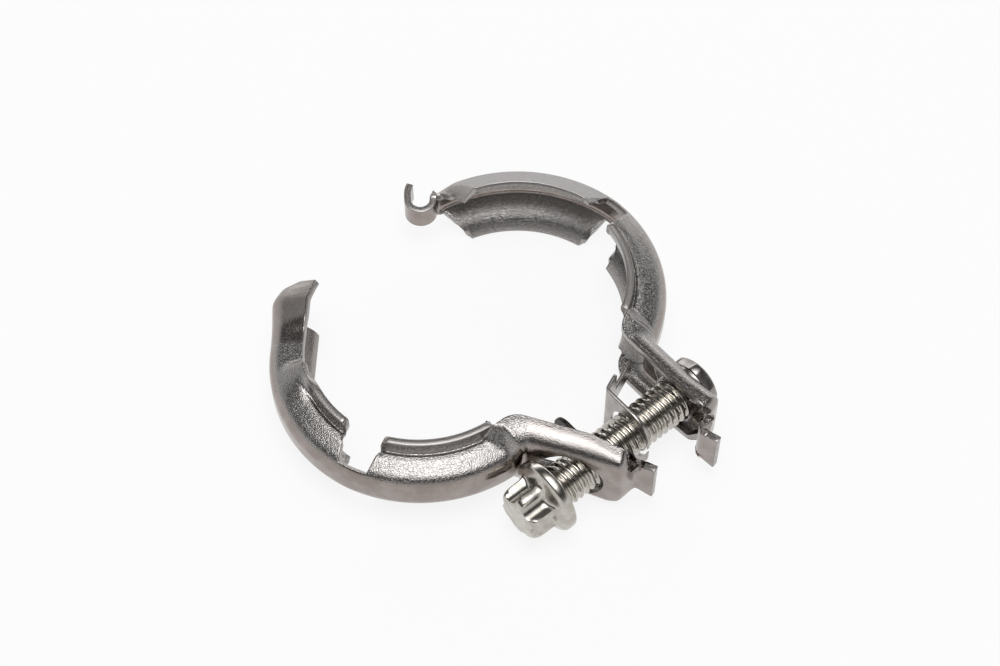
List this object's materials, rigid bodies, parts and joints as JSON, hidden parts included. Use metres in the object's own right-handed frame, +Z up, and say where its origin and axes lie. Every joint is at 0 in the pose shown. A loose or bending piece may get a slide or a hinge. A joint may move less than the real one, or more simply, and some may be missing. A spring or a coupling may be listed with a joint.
{
  "type": "v-profile flange clamp",
  "caption": "Small stainless V-profile clamp for a flanged pipe joint, open: hook and tongue arms on relief notches, E8 flange bolt, collar nut and spring clip.",
  "frame": {"origin": "under the middle of the opened clamp, on the surface it lies on", "axes": "+Z up, square to the ring's plane; +X from the tongue towards the nut; +Y from the bolt head towards the hook"},
  "size_m": [0.0604, 0.0576, 0.0108],
  "materials": {
    "stamped_steel": "satin",
    "plated_steel": "gloss",
    "spring_steel": "satin",
    "dark_spring_steel": "satin"
  },
  "bodies": {
    "tongue_arm": {"tongue_arm_ear": "stamped_steel"},
    "tongue": {"tongue_arm_tongue": "stamped_steel"},
    "retainer": {"bolt_retaining_plate": "dark_spring_steel"},
    "bolt": {"flange_bolt": "plated_steel"},
    "hook_arm": {"hook_arm_ear": "stamped_steel", "hex_nut": "plated_steel", "bolt_spring_clip": "spring_steel"},
    "hook": {"hook_arm_hook": "stamped_steel"}
  },
  "joints": [
    {"name": "bolt_swing", "type": "hinge", "parent": "tongue_arm", "child": "retainer", "pos_m": [0.01076, -0.02003, 0.0054], "axis": [0, 0, 1], "range_deg": [-2, 18]},
    {"name": "bolt_turn", "type": "hinge", "parent": "retainer", "child": "bolt", "pos_m": [0.00757, -0.02276, 0.0054], "axis": [0.7604, 0.6494, 0], "range_deg": [0, 1080]},
    {"name": "nut_travel", "type": "slide", "parent": "retainer", "child": "hook_arm", "axis": [0.7604, 0.6494, 0], "range_m": [-0.003, 0]},
    {"name": "hook_flex", "type": "hinge", "parent": "hook_arm", "child": "hook", "pos_m": [0.01758, 0.02268, 0.0054], "axis": [0, 0, 1], "range_deg": [-4, 0]},
    {"name": "tongue_flex", "type": "hinge", "parent": "tongue_arm", "child": "tongue", "pos_m": [-0.01902, -0.02082, 0.0054], "axis": [0, 0, 1], "range_deg": [0, 4]}
  ],
  "couplings": [
    {"joint": "bolt_turn", "follows": "nut_travel", "rad_per_m": -6283.2}
  ]
}
